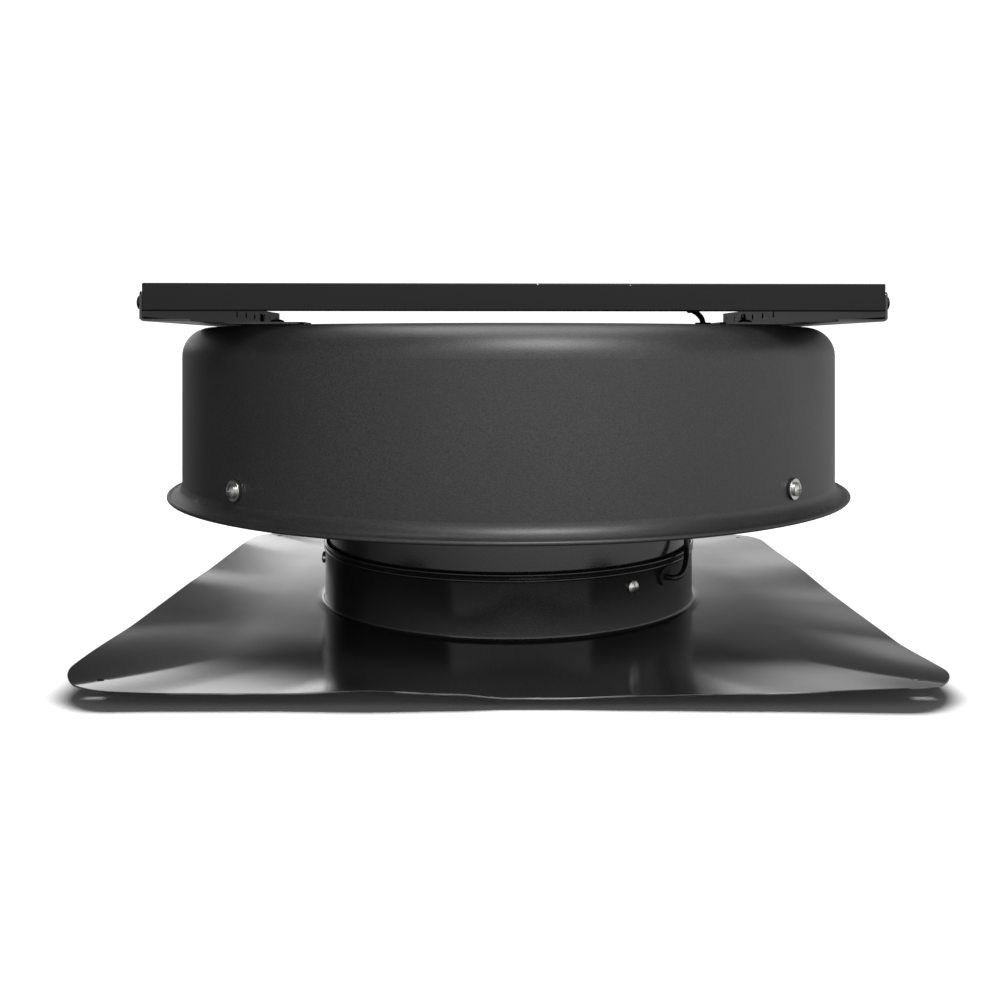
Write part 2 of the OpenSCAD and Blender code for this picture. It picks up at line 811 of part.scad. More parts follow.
module pivot_nuts() {
    seat = panel_w / 2 - wall_t - body_gap;
    color(zinc) on_dome() for (side = [0, 1])
        mirror([side, 0, 0]) translate([0, pivot_y, pivot_z]) difference() {
            hex_x(7, seat - nut_t, seat);
            bar_x(m4[0], seat - 9, seat + 5);
        }
}

// Cables and grommets

module dome_grommet() {
    exit = panel_route[len(panel_route) - 1];
    color(rubber) translate([exit[0], exit[1], dome_top]) difference() {
        union() {
            cylinder(h = 2, r = 9.5);
            translate([0, 0, 1]) cylinder(h = 3.4, r = 6.5);
            translate([0, 0, -sheet_t]) cylinder(h = sheet_t, r = cable_exit_r);
            translate([0, 0, -sheet_t - 2]) cylinder(h = 2, r = 9);
        }
        translate([0, 0, -9]) cylinder(h = 20, r = cable_r + 0.2);
    }
}

module neck_grommet() {
    color(rubber) at_azimuth(cable_azimuth) translate([0, 0, cable_z]) difference() {
        union() {
            bar_x(4.5, tube_in - 2.4, collar_r + 1);
            bar_x(7, collar_r + 0.2, collar_r + 2.2);
            bar_x(6, tube_in - 2.4, tube_in - 0.4);
        }
        bar_x(cable_r + 0.2, tube_in - 9, collar_r + 9);
    }
}

module panel_cable() {
    color(rubber) cable(panel_route, cable_r);
}

module motor_cable() {
    color(rubber) cable(motor_route, cable_r);
}

// Solar panel

// Section of a frame rail: x inwards from the outer face, y up from the underside
module rail_section() {
    polygon([
        [0, 1], [1, 0], [rail_foot_w, 0], [rail_foot_w, 1.5], [wall_t, 1.5], [wall_t, shelf_z],
        [lip_w, shelf_z], [lip_w, shelf_z + shelf_t], [wall_t, shelf_z + shelf_t], [wall_t, panel_h - 1.2],
        [lip_w, panel_h - 1.2], [lip_w, panel_h], [0.6, panel_h], [0, panel_h - 0.6]
    ]);
}

// Mitred rail of the given length, outer face on y = 0, running along +X
module rail(length) {
    intersection() {
        rotate([90, 0, 90]) linear_extrude(length) rail_section();
        translate([0, 0, -1]) linear_extrude(panel_h + 2)
            polygon([[0, 0], [length, 0], [length - 20, 20], [20, 20]]);
    }
}

// Corner of the frame as the origin, seen from below left at the front
module on_frame() {
    on_panel() translate([-panel_w / 2, -panel_front, -rail_drop]) children();
}

module panel_rail_front() {
    color(coat) on_frame() rail(panel_w);
}

module panel_rail_rear() {
    color(coat) on_frame() translate([panel_w, panel_l, 0]) rotate([0, 0, 180]) rail(panel_w);
}

// Side rail along the panel, with the pivot hole and the stay bolt hole
module side_rail() {
    difference() {
        rotate([0, 0, 90]) mirror([0, 1, 0]) rail(panel_l);
        translate([0, panel_front, rail_drop]) bar_x(m4[0] + run_gap, -1, wall_t + 1);
        translate([0, panel_front + stay_top_y, rail_drop + stay_top_z]) bar_x(m4[0], -1, wall_t + 1);
    }
}

module panel_rail_left() {
    color(coat) on_frame() side_rail();
}

module panel_rail_right() {
    color(coat) on_frame() translate([panel_w, 0, 0]) mirror([1, 0, 0]) side_rail();
}

module frame_cleats() {
    color(steel) on_frame() for (flip_x = [0, 1], flip_y = [0, 1])
        translate([flip_x * panel_w, flip_y * panel_l, cleat_z]) mirror([flip_x, 0, 0]) mirror([0, flip_y, 0])
            linear_extrude(shelf_z - cleat_z) polygon([
                [wall_t, wall_t], [cleat_l, wall_t], [cleat_l, 8], [8, 8], [8, cleat_l], [wall_t, cleat_l]
            ]);
}

module panel_layer(z, t, edge) {
    on_frame() translate([edge, edge, z]) cube([panel_w - 2 * edge, panel_l - 2 * edge, t]);
}

module back_sheet() {
    color("#d9dadb") panel_layer(shelf_z + shelf_t, sheet_back_t, wall_t + glass_gap);
}

module solar_cells() {
    pitch_x = (panel_w - 2 * cell_margin) / cell_cols;
    pitch_y = (panel_l - 2 * cell_margin) / cell_rows;
    color("#0d1420") on_frame() for (i = [0 : cell_cols - 1], j = [0 : cell_rows - 1])
        translate([
            cell_margin + i * pitch_x + cell_gap / 2,
            cell_margin + j * pitch_y + cell_gap / 2,
            shelf_z + shelf_t + sheet_back_t
        ])
            cube([pitch_x - cell_gap, pitch_y - cell_gap, cell_t]);
}

module panel_glass() {
    color("#26303c") panel_layer(shelf_z + shelf_t + sheet_back_t + cell_t, glass_t, wall_t + glass_gap);
}

module junction_box() {
    under = shelf_z + shelf_t - rail_drop;
    color(plastic) on_panel() translate([box_at[0] - box_size[0] / 2, box_at[1], under - box_size[2]])
        difference() {
            cube(box_size);
            translate([2, 2, -1]) cube([box_size[0] - 4, box_size[1] - 4, box_size[2] - 1]);
            translate([gland_x - box_at[0] + box_size[0] / 2, -1, 5]) rotate([-90, 0, 0])
                cylinder(h = 5, r = cable_r + 0.6);
        }
}

module junction_lid() {
    under = shelf_z + shelf_t - rail_drop - box_size[2];
    color(plastic) on_panel() translate([box_at[0] - box_size[0] / 2 - 1, box_at[1] - 1, under - lid_t])
        cube([box_size[0] + 2, box_size[1] + 2, lid_t]);
}

module junction_gland() {
    under = shelf_z + shelf_t - rail_drop - box_size[2];
    color(plastic) on_panel() translate([gland_x, box_at[1], under + 5]) rotate([90, 0, 0]) difference() {
        union() {
            cylinder(h = 3, r = 4.8);
            cylinder(h = gland_l, r = 4.2);
        }
        translate([0, 0, -1]) cylinder(h = gland_l + 2, r = cable_r + 0.6);
    }
}

// Clips that hold the panel cable against the back sheet
module cable_clips() {
    under = shelf_z + shelf_t - rail_drop;
    color(plastic) on_panel() for (y = [120, 250])
        translate([gland_x + 0.7, y, under]) difference() {
            translate([-9, -5, -6.6]) cube([18, 10, 6.6]);
            translate([0, -6, -3.3]) rotate([-90, 0, 0]) cylinder(h = 12, r = cable_r + 0.5);
        }
}

// Stays

module stay_bolts() {
    color(zinc) on_panel() for (side = [0, 1])
        mirror([side, 0, 0]) translate([0, stay_top_y, stay_top_z])
            screw_x(m4, stay_x + stay_t + body_gap, panel_w / 2 - wall_t - nut_t - 2);
}

module stay_spacers() {
    color(zinc) on_panel() for (side = [0, 1])
        mirror([side, 0, 0]) translate([0, stay_top_y, stay_top_z])
            washer_x(3.8, m4[0], panel_w / 2, stay_x - body_gap);
}

module stay_nuts() {
    seat = panel_w / 2 - wall_t;
    color(zinc) on_panel() for (side = [0, 1])
        mirror([side, 0, 0]) translate([0, stay_top_y, stay_top_z]) difference() {
            hex_x(7, seat - nut_t, seat);
            bar_x(m4[0], seat - 9, seat + 5);
        }
}

// Frame of a stay: origin at its upper pivot, +Y along the bar towards its foot
module on_stay() {
    on_dome() translate([
        0,
        pivot_y + stay_l * cos(stay_rest_angle),
        pivot_z + stay_l * sin(stay_rest_angle)
    ])
        rotate([-stay_rest_angle, 0, 0]) children();
}

module stay() {
    on_stay() difference() {
        union() {
            translate([stay_x, 0, -stay_w / 2]) cube([stay_t, stay_l, stay_w]);
            bar_x(stay_w / 2, stay_x, stay_x + stay_t);
            translate([0, stay_l, 0]) bar_x(stay_w / 2, stay_x, stay_x + stay_t);
        }
        bar_x(m4[0] + run_gap, stay_x - 1, stay_x + stay_t + 1);
        translate([0, stay_l, 0]) bar_x(m4[0], stay_x - 1, stay_x + stay_t + 1);
    }
}

// Foot bolt: a nut and the shank's end outside the leg, the head inside it; the leg passes between the two
module stay_foot() {
    outer = stay_x + stay_t;
    on_stay() translate([0, stay_l, 0]) {
        bar_x(m4[0], stay_x, outer + nut_t + 1.5);
        difference() {
            hex_x(7, outer + 0.05, outer + nut_t);
            bar_x(m4[0], outer - 1, outer + nut_t + 1);
        }
        mirror([1, 0, 0]) screw_x(m4, -leg_in + body_gap, -leg_in + body_gap - 0.1);
    }
}

module stay_right() {
    color(coat) stay();
}

module stay_left() {
    color(coat) on_dome() mirror([1, 0, 0]) rotate([0, 0, -dome_turn]) stay();
}

module stay_right_foot() {
    color(zinc) stay_foot();
}

module stay_left_foot() {
    color(zinc) on_dome() mirror([1, 0, 0]) rotate([0, 0, -dome_turn]) stay_foot();
}

roof_flashing();
fan_tube();
neck_screws();
throat_guard();
motor_bracket();
motor_isolators();
motor_screws();
motor_housing();
motor_end_cap();
motor_bearings();
motor_stator();
motor_windings();
motor_board();
motor_shaft();
rotor_core();
rotor_magnets();
fan_hub();
fan_blades();
blade_rivets();
hub_screw();
thermal_switch();
dome();
dome_struts();
strut_rivets();
dome_screws();
dome_washers();
dome_seals();
dome_nuts();
pest_screen();
bracket_left();
bracket_right();
foot_pads();
foot_bolts();
foot_washers();
foot_nuts();
pivot_bolts();
pivot_nuts();
dome_grommet();
neck_grommet();
panel_cable();
motor_cable();
panel_rail_front();
panel_rail_rear();
panel_rail_left();
panel_rail_right();
frame_cleats();
panel_glass();
solar_cells();
back_sheet();
junction_box();
junction_lid();
junction_gland();
cable_clips();
stay_bolts();
stay_spacers();
stay_nuts();
stay_left();
stay_right();
stay_left_foot();
stay_right_foot();
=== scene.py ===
"""Looks of a solar attic fan: a roof flashing with a collar, a spun dome over a ducted fan, a tilting solar panel.

Metres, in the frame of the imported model: +Z up, the front faces -Y, the origin is under the middle of the flashing.
"""

import json
import math

import bmesh
import bpy
from mathutils import Matrix, Vector, noise


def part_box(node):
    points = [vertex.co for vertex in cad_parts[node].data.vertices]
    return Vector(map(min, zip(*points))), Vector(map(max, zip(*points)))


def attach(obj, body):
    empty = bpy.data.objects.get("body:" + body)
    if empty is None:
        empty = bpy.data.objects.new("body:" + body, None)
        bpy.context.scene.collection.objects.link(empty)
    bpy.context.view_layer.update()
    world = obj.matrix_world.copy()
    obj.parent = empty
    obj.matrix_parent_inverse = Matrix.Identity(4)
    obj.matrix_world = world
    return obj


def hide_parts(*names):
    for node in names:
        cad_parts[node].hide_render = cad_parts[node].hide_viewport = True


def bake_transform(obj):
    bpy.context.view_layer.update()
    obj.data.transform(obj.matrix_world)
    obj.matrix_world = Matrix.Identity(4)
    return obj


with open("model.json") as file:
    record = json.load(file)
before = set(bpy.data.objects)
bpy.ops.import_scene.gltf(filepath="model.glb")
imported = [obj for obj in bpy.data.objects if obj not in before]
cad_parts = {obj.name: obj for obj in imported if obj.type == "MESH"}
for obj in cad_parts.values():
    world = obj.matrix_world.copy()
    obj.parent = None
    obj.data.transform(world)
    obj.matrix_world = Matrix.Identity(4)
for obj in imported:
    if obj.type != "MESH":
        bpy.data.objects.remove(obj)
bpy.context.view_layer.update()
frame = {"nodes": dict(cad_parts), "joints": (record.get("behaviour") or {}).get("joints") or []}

MM = 0.001
TURN = 2 * math.pi
SCENE = bpy.context.scene
JOINTS = {joint["name"]: joint for joint in frame["joints"]}

# The dome and all that is bolted to it stand turned a little on the flashing, as the panel's axis does
PIVOT = Vector(JOINTS["panel_tilt"]["pos_m"])
AXIS = Vector(JOINTS["panel_tilt"]["axis"])
DOME_FRAME = Matrix.Rotation(math.atan2(AXIS.y, AXIS.x), 4, "Z")
# Frame of the panel: origin on the tilt axis, y back along the panel, z up through it
PANEL_TILT = math.radians(2.6)
PANEL_FRAME = Matrix.Translation(PIVOT) @ DOME_FRAME @ Matrix.Rotation(PANEL_TILT, 4, "X")


# ---------------------------------------------------------------- camera

def add_camera():
    """A level camera a little above the flashing, in front of the fan."""
    data = bpy.data.cameras.new("camera")
    data.sensor_width = 36
    data.lens = 37.62
    data.shift_x = -0.0086
    data.shift_y = -0.154
    data.clip_start = 0.01
    camera = bpy.data.objects.new("camera", data)
    camera.location = (0, -0.9256, 0.221)
    camera.rotation_euler = (math.radians(90), 0, 0)
    SCENE.collection.objects.link(camera)
    SCENE.camera = camera


add_camera()


# ---------------------------------------------------------------- mesh helpers

def surface(rows, close_rows=False, close_columns=False):
    """A mesh of quads through rows of points; either way round it may close on itself."""
    width = len(rows[0])
    points = [point for row in rows for point in row]
    faces = []
    for i in range(len(rows) if close_rows else len(rows) - 1):
        for k in range(width if close_columns else width - 1):
            ahead, beside = (i + 1) % len(rows), (k + 1) % width
            faces.append((i * width + k, i * width + beside, ahead * width + beside, ahead * width + k))
    mesh = bpy.data.meshes.new("surface")
    mesh.from_pydata(points, [], faces)
    return mesh


def joined(parts):
    """One mesh from several, each used up."""
    work = bmesh.new()
    for part in parts:
        work.from_mesh(part)
        bpy.data.meshes.remove(part)
    mesh = bpy.data.meshes.new("joined")
    work.to_mesh(mesh)
    work.free()
    return mesh


def smooth_path(points, steps):
    """A smooth line through the points, with so many steps from each to the next."""
    route = [Vector(p) for p in points]
    ends = [2 * route[0] - route[1], *route, 2 * route[-1] - route[-2]]
    line = []
    for i in range(len(route) - 1):
        a, b, c, d = ends[i:i + 4]
        for step in range(steps):
            t = step / steps
            line.append(0.5 * (2 * b + (c - a) * t + (2 * a - 5 * b + 4 * c - d) * t * t
                               + (3 * b - a - 3 * c + d) * t ** 3))
    return line + [route[-1]]


def tube(path, radius, sides=8, closed=False):
    """A round tube along a path, as a mesh; an open one has flat ends."""
    count = len(path)
    rings = []
    side = Vector((0.31, 0.17, 0.93))
    for i, point in enumerate(path):
        if closed:
            ahead = path[(i + 1) % count] - path[i - 1]
        else:
            ahead = path[min(i + 1, count - 1)] - path[max(i - 1, 0)]
        ahead.normalize()
        side = (side - side.dot(ahead) * ahead).normalized()
        up = ahead.cross(side)
        turns = [TURN * k / sides for k in range(sides)]
        rings.append([point + radius * (math.cos(a) * side + math.sin(a) * up) for a in turns])
    mesh = surface(rings, close_rows=closed, close_columns=True)
    if closed:
        return mesh
    work = bmesh.new()
    work.from_mesh(mesh)
    bmesh.ops.holes_fill(work, edges=[edge for edge in work.edges if edge.is_boundary])
    bmesh.ops.recalc_face_normals(work, faces=work.faces)
    work.to_mesh(mesh)
    work.free()
    return mesh


def slab(outline, low, high):
    """A flat plate with the given outline, from height low to height high."""
    rows = [[Vector((x, y, z)) for x, y in outline] for z in (low, high)]
    mesh = surface(rows, close_columns=True)
    work = bmesh.new()
    work.from_mesh(mesh)
    bmesh.ops.holes_fill(work, edges=[edge for edge in work.edges if edge.is_boundary])
    bmesh.ops.recalc_face_normals(work, faces=work.faces)
    work.to_mesh(mesh)
    work.free()
    return mesh


def add_piece(name, mesh, coats, body, stands_for=(), place=None):
    """Puts a mesh into the scene as a piece that rides on a body and may stand for nodes of the model."""
    mesh.name = name
    for coat in coats:
        mesh.materials.append(coat)
    for face in mesh.polygons:
        face.use_smooth = True
    mesh.set_sharp_from_angle(angle=math.radians(38))
    piece = bpy.data.objects.new(name, mesh)
    SCENE.collection.objects.link(piece)
    if place:
        piece.matrix_world = place
    if stands_for:
        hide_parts(*stands_for)
    if body:
        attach(piece, body)
    return piece


def ease_edges(name, width, segments=2):
    """Rounds the edges of a node of the model, as deburring and coating do."""
    model = frame["nodes"][name]
    weld = model.modifiers.new("weld", "WELD")
    weld.merge_threshold = 0.005 * MM
    bevel = model.modifiers.new("eased edges", "BEVEL")
    bevel.width = width
    bevel.segments = segments
    bevel.angle_limit = math.radians(40)
    bevel.harden_normals = True


# ---------------------------------------------------------------- material helpers

def colour(code):
    """A linear colour from an sRGB hex value."""
    channels = [int(code[i:i + 2], 16) / 255 for i in (1, 3, 5)]
    return tuple(c / 12.92 if c <= 0.04045 else ((c + 0.055) / 1.055) ** 2.4 for c in channels) + (1.0,)


def node(tree, kind, inputs=(), **settings):
    """Adds a node with its settings; each input is a value, or the socket that feeds it."""
    made = tree.nodes.new(kind)
    for name, value in settings.items():
        setattr(made, name, value)
    for socket, value in dict(inputs).items():
        if isinstance(value, bpy.types.NodeSocket):
            tree.links.new(value, made.inputs[socket])
        else:
            made.inputs[socket].default_value = value
    return made


def finish(name, inputs):
    """A material with one Principled surface; also returns its tree, that surface and the place on the piece."""
    material = bpy.data.materials.new(name)
    material.use_nodes = True
    tree = material.node_tree
    shader = tree.nodes["Principled BSDF"]
    for socket, value in inputs.items():
        shader.inputs[socket].default_value = value
    place = node(tree, "ShaderNodeTexCoord").outputs["Object"]
    return material, tree, shader, place


def black_coat(name, dark, light, low, high, sand_height):
    """Black baked coat on sheet steel, with a fine sandy skin and faint clouding of tone and gloss.

    The sand is drawn coarser than real powder, which is too fine to show.
    """
    grain = 1.1 * MM
    cloud = 90 * MM
    material, tree, shader, place = finish(name, {"IOR": 1.5, "Specular IOR Level": 0.5})
    sand = node(tree, "ShaderNodeTexNoise", {"Vector": place, "Scale": 1 / grain, "Detail": 2.0})
    clouds = node(tree, "ShaderNodeTexNoise", {"Vector": place, "Scale": 1 / cloud, "Detail": 3.0})
    speck = node(tree, "ShaderNodeMapRange", {
        "Value": sand.outputs["Fac"], "From Min": 0.35, "From Max": 0.65, "To Min": 0.0, "To Max": 0.9})
    mixed = node(tree, "ShaderNodeMath", {0: speck.outputs[0], 1: clouds.outputs["Fac"]}, operation="MULTIPLY")
    tint = node(tree, "ShaderNodeMix", {0: mixed.outputs[0], 6: colour(dark), 7: colour(light)},
                data_type="RGBA")
    satin = node(tree, "ShaderNodeMapRange", {
        "Value": clouds.outputs["Fac"], "From Min": 0.2, "From Max": 0.8, "To Min": low, "To Max": high})
    bump = node(tree, "ShaderNodeBump", {
        "Height": sand.outputs["Fac"], "Strength": sand_height, "Distance": 0.2 * MM})
    tree.links.new(tint.outputs[2], shader.inputs["Base Color"])
    tree.links.new(satin.outputs[0], shader.inputs["Roughness"])
    tree.links.new(bump.outputs[0], shader.inputs["Normal"])
    return material


def grey_streaked_edge():
    """The flashing's sheared edge: black, turning lighter metallic grey in stretches."""
    stretch = 70 * MM
    material, tree, shader, place = finish("grey_streaked_edge", {"Roughness": 0.42, "Metallic": 0.4})
    streak_noise = node(tree, "ShaderNodeTexNoise", {"Vector": place, "Scale": 1 / stretch, "Detail": 4.0})
    # the edge turns lighter grey where this noise is high
    grey_share = node(tree, "ShaderNodeMapRange", {
        "Value": streak_noise.outputs["Fac"], "From Min": 0.45, "From Max": 0.6, "To Min": 0.0, "To Max": 1.0})
    tint = node(tree, "ShaderNodeMix", {0: grey_share.outputs[0], 6: colour("#19191a"), 7: colour("#70706e")},
                data_type="RGBA")
    tree.links.new(tint.outputs[2], shader.inputs["Base Color"])
    return material


def anodised_frame():
    """Black anodised aluminium section: matt, darker than the powder coat, with extrusion lines and a few nicks."""
    line = 0.5 * MM
    patch = 9 * MM
    nick_share = 0.055
    patches_nicked = 0.2
    material, tree, shader, place = finish("black_anodised_aluminium", {
        "IOR": 1.5, "Specular IOR Level": 0.2})
    drawn = node(tree, "ShaderNodeMapping", {"Vector": place, "Scale": (0.02, 0.02, 1.0)})
    lines = node(tree, "ShaderNodeTexNoise", {"Vector": drawn.outputs[0], "Scale": 1 / line, "Detail": 2.0})
    cells = node(tree, "ShaderNodeTexVoronoi", {"Vector": place, "Scale": 1 / patch})
    near = node(tree, "ShaderNodeMath", {0: cells.outputs["Distance"], 1: nick_share}, operation="LESS_THAN")
    chance = node(tree, "ShaderNodeSeparateColor", {0: cells.outputs["Color"]})
    few = node(tree, "ShaderNodeMath", {0: chance.outputs[0], 1: patches_nicked}, operation="LESS_THAN")
    nick = node(tree, "ShaderNodeMath", {0: near.outputs[0], 1: few.outputs[0]}, operation="MULTIPLY")
    base = node(tree, "ShaderNodeMix", {0: lines.outputs["Fac"], 6: colour("#09090a"), 7: colour("#131314")},
                data_type="RGBA")
    tint = node(tree, "ShaderNodeMix", {0: nick.outputs[0], 6: base.outputs[2], 7: colour("#b4b4b0")},
                data_type="RGBA")
    matt = node(tree, "ShaderNodeMapRange", {"Value": lines.outputs["Fac"], "To Min": 0.42, "To Max": 0.56})
    tree.links.new(tint.outputs[2], shader.inputs["Base Color"])
    tree.links.new(matt.outputs[0], shader.inputs["Roughness"])
    return material


def plated(name, bright, dull, grain, low, high):
    """A metal finish whose tone and gloss vary between two values over grains of the given size."""
    material, tree, shader, place = finish(name, {"Metallic": 1.0})
    spangle = node(tree, "ShaderNodeTexNoise", {"Vector": place, "Scale": 1 / grain, "Detail": 3.0})
    tint = node(tree, "ShaderNodeMix", {0: spangle.outputs["Fac"], 6: colour(bright), 7: colour(dull)},
                data_type="RGBA")
    gloss = node(tree, "ShaderNodeMapRange", {"Value": spangle.outputs["Fac"], "To Min": low, "To Max": high})
    bump = node(tree, "ShaderNodeBump", {
        "Height": spangle.outputs["Fac"], "Strength": 0.08, "Distance": 0.1 * MM})
    tree.links.new(tint.outputs[2], shader.inputs["Base Color"])
    tree.links.new(gloss.outputs[0], shader.inputs["Roughness"])
    tree.links.new(bump.outputs[0], shader.inputs["Normal"])
    return material


def moulded(name, dark, light, grain, low, high, specular=0.5):
    """A moulded or extruded dark polymer with the given grain."""
    material, tree, shader, place = finish(name, {"IOR": 1.5, "Specular IOR Level": specular})
    skin = node(tree, "ShaderNodeTexNoise", {"Vector": place, "Scale": 1 / grain, "Detail": 3.0})
    tint = node(tree, "ShaderNodeMix", {0: skin.outputs["Fac"], 6: colour(dark), 7: colour(light)},
                data_type="RGBA")
    gloss = node(tree, "ShaderNodeMapRange", {"Value": skin.outputs["Fac"], "To Min": low, "To Max": high})
    bump = node(tree, "ShaderNodeBump", {"Height": skin.outputs["Fac"], "Strength": 0.15, "Distance": 0.1 * MM})
    tree.links.new(tint.outputs[2], shader.inputs["Base Color"])
    tree.links.new(gloss.outputs[0], shader.inputs["Roughness"])
    tree.links.new(bump.outputs[0], shader.inputs["Normal"])
    return material


def solar_silicon():
    """Monocrystalline cells: near-black blue with fine printed silver fingers across them."""
    finger_pitch = 2.2 * MM
    finger_share = 0.09
    material, tree, shader, place = finish("monocrystalline_silicon", {
        "IOR": 1.5, "Roughness": 0.28, "Coat Weight": 0.4})
    axes = node(tree, "ShaderNodeSeparateXYZ", {0: place})
    count = node(tree, "ShaderNodeMath", {0: axes.outputs["Y"], 1: finger_pitch}, operation="DIVIDE")
    phase = node(tree, "ShaderNodeMath", {0: count.outputs[0]}, operation="FRACT")
    finger = node(tree, "ShaderNodeMath", {0: phase.outputs[0], 1: finger_share}, operation="LESS_THAN")
    tone = node(tree, "ShaderNodeTexNoise", {"Vector": place, "Scale": 1 / (160 * MM), "Detail": 2.0})
    base = node(tree, "ShaderNodeMix", {0: tone.outputs["Fac"], 6: colour("#0a0f1c"), 7: colour("#141c30")},
                data_type="RGBA")
    tint = node(tree, "ShaderNodeMix", {0: finger.outputs[0], 6: base.outputs[2], 7: colour("#5c6068")},
                data_type="RGBA")
    tree.links.new(tint.outputs[2], shader.inputs["Base Color"])
    return material


def panel_glass():
    """Tempered low-iron cover glass, clear, with a very slight orange peel from rolling."""
    material, tree, shader, place = finish("low_iron_glass", {
        "Base Color": colour("#f4f8f7"), "Roughness": 0.03, "IOR": 1.5, "Transmission Weight": 1.0})
    peel = node(tree, "ShaderNodeTexNoise", {"Vector": place, "Scale": 1 / (4 * MM), "Detail": 1.0})
    bump = node(tree, "ShaderNodeBump", {"Height": peel.outputs["Fac"], "Strength": 0.03, "Distance": 0.1 * MM})
    tree.links.new(bump.outputs[0], shader.inputs["Normal"])
    return material


def stacked_laminations():
    """Punched electrical steel sheets in a stack, seen as fine dark lines between the sheets."""
    sheet = 0.5 * MM
    gap_share = 0.2
    material, tree, shader, place = finish("electrical_steel_laminations", {"Metallic": 0.9, "Roughness": 0.45})
    axes = node(tree, "ShaderNodeSeparateXYZ", {0: place})
    count = node(tree, "ShaderNodeMath", {0: axes.outputs["Z"], 1: sheet}, operation="DIVIDE")
    phase = node(tree, "ShaderNodeMath", {0: count.outputs[0]}, operation="FRACT")
    gap = node(tree, "ShaderNodeMath", {0: phase.outputs[0], 1: gap_share}, operation="LESS_THAN")
    tint = node(tree, "ShaderNodeMix", {0: gap.outputs[0], 6: colour("#77787a"), 7: colour("#2a2a2b")},
                data_type="RGBA")
    tree.links.new(tint.outputs[2], shader.inputs["Base Color"])
    return material


# Black polyester powder: satin, finely textured
POWDER_COAT = black_coat("powder_coated_steel", "#151516", "#303031", 0.38, 0.48, 0.34)
# Black enamel of the flashing: smoother and glossier than the powder on the dome
ENAMEL = black_coat("enamelled_steel", "#151516", "#2c2c2d", 0.1, 0.16, 0.1)
COAT_EDGE = grey_streaked_edge()
FRAME_BLACK = anodised_frame()
# Zinc plate with a clear passivate: bright, faintly clouded
ZINC = plated("zinc_plated_steel", "#d4d4d0", "#a9aaa7", 2.5 * MM, 0.22, 0.38)
# Black oxide on steel: dark, oily satin
BLACK_OXIDE = plated("black_oxide_steel", "#2a2a2b", "#1a1a1b", 1.5 * MM, 0.3, 0.42)
# Ground bearing steel: smooth and grey
BEARING_STEEL = plated("ground_steel", "#b6b7b9", "#8e8f91", 1.2 * MM, 0.18, 0.3)
# Galvanised wire: dull spangle
GALVANISED = plated("galvanised_wire", "#9fa2a2", "#767979", 3 * MM, 0.4, 0.58)
# Mill-finish aluminium sheet, a little dusty
ALUMINIUM = plated("mill_aluminium", "#c3c5c8", "#9b9da0", 14 * MM, 0.3, 0.44)
# Enamelled winding wire: warm and glossy
COPPER = plated("enamelled_copper", "#b8693a", "#8a4522", 0.7 * MM, 0.2, 0.34)
# Sintered ferrite: dark grey and dry
FERRITE = moulded("sintered_ferrite", "#3a3a3c", "#4a4a4d", 0.6 * MM, 0.6, 0.8)
# EPDM rubber: matt black with a light bloom
RUBBER = moulded("epdm_rubber", "#101010", "#1c1c1b", 0.8 * MM, 0.62, 0.8, 0.35)
# PVC cable jacket: smooth, softly glossy
JACKET = moulded("pvc_jacket", "#0c0c0d", "#161617", 1.5 * MM, 0.34, 0.46)
# Moulded ABS with a fine spark-eroded texture
ABS = moulded("moulded_abs", "#151517", "#232427", 0.7 * MM, 0.45, 0.6)
# Neutral-cure silicone bead: smooth and rubbery
SILICONE = moulded("silicone_bead", "#0d0d0e", "#151516", 2.5 * MM, 0.28, 0.4)
# Solder mask over copper tracks
SOLDER_MASK = moulded("solder_mask", "#123d22", "#1c5a33", 2.5 * MM, 0.25, 0.4)
# White laminated polyester film on the back of the panel
BACK_FILM = moulded("laminated_back_film", "#d3d4d4", "#e2e2e1", 6 * MM, 0.4, 0.5)
# Tinned copper ribbon
RIBBON = plated("tinned_ribbon", "#c9cacc", "#aeb0b3", 1.5 * MM, 0.2, 0.32)
LAMINATIONS = stacked_laminations()
SILICON = solar_silicon()
GLASS = panel_glass()

NODE_FINISHES = (
    (ENAMEL, ("roof_flashing", "fan_tube", "bracket_left", "bracket_right")),
    (POWDER_COAT, ("throat_guard", "motor_bracket", "dome", "dome_struts", "stay_left", "stay_right")),
    (FRAME_BLACK, ("panel_rail_front", "panel_rail_rear", "panel_rail_left", "panel_rail_right")),
    (ZINC, ("neck_screws", "motor_screws", "dome_screws", "dome_washers", "dome_nuts", "foot_washers", "foot_nuts",
            "pivot_nuts", "stay_spacers", "stay_nuts")),
    (BLACK_OXIDE, ("foot_bolts", "pivot_bolts", "stay_bolts", "stay_left_foot", "stay_right_foot")),
    (BEARING_STEEL, ("motor_bearings", "motor_shaft", "hub_screw")),
    (GALVANISED, ("pest_screen",)),
    (ALUMINIUM, ("fan_hub", "fan_blades", "blade_rivets", "strut_rivets", "motor_end_cap", "frame_cleats")),
    (LAMINATIONS, ("motor_stator", "rotor_core")),
    (FERRITE, ("rotor_magnets",)),
    (COPPER, ("motor_windings",)),
    (RUBBER, ("motor_isolators", "dome_seals", "foot_pads", "dome_grommet", "neck_grommet")),
    (JACKET, ("panel_cable", "motor_cable")),
    (ABS, ("motor_housing", "thermal_switch", "junction_box", "junction_lid", "junction_gland", "cable_clips")),
    (SOLDER_MASK, ("motor_board",)),
    (GLASS, ("panel_glass",)),
    (SILICON, ("solar_cells",)),
    (BACK_FILM, ("back_sheet",)),
)
for material, names in NODE_FINISHES:
    for name in names:
        slots = frame["nodes"][name].data.materials
        slots.clear()
        slots.append(material)

